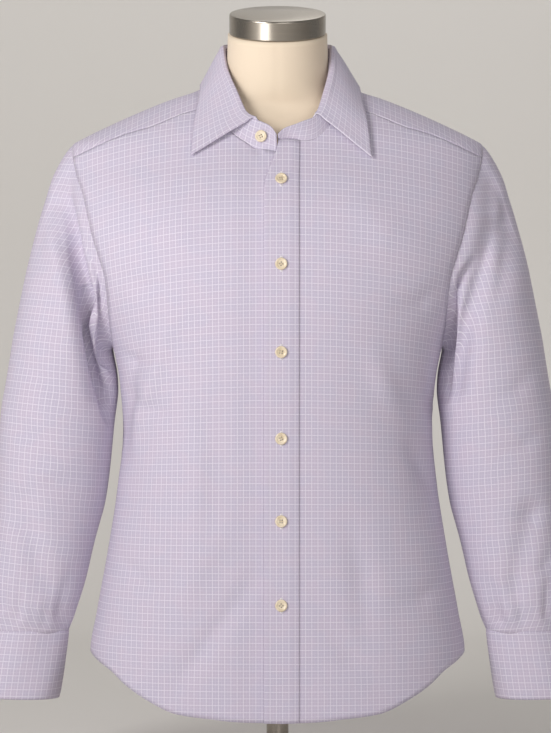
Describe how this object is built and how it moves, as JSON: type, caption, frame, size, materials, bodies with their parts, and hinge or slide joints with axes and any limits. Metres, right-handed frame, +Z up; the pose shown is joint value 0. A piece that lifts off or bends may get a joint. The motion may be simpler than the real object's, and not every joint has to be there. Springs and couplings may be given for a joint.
{
  "type": "long sleeve dress shirt on a limbless dress form",
  "caption": "Buttoned long sleeve dress shirt in fine check cloth, filled out on a limbless dress form with a round base.",
  "frame": {"origin": "centre of the underside of the base plate, which rests on the floor", "axes": "+Z up, -Y is the front of the shirt, +X is the wearer's left"},
  "size_m": [0.6786, 0.28, 0.8639],
  "materials": {
    "shirting": "lilac end-on-end poplin with a fine white line check",
    "button": "ivory, soft gloss",
    "form_cover": "cream jersey stretched smooth",
    "steel": "fine lines round the cap"
  },
  "bodies": {
    "root": {"front_right": "shirting", "front_left": "shirting", "placket": "shirting", "back": "shirting", "yoke": "shirting", "collar_stand": "shirting", "collar_leaf": "shirting", "sleeve_right": "shirting", "sleeve_left": "shirting", "sleeve_placket_right": "shirting", "sleeve_placket_left": "shirting", "cuff_right": "shirting", "cuff_left": "shirting", "button_stand": "button", "button_1": "button", "button_2": "button", "button_3": "button", "button_4": "button", "button_5": "button", "button_6": "button", "button_cuff_right": "button", "button_cuff_left": "button", "form_body": "form_cover", "form_cap": "steel", "form_post": "steel", "form_base": "steel"}
  },
  "joints": []
}
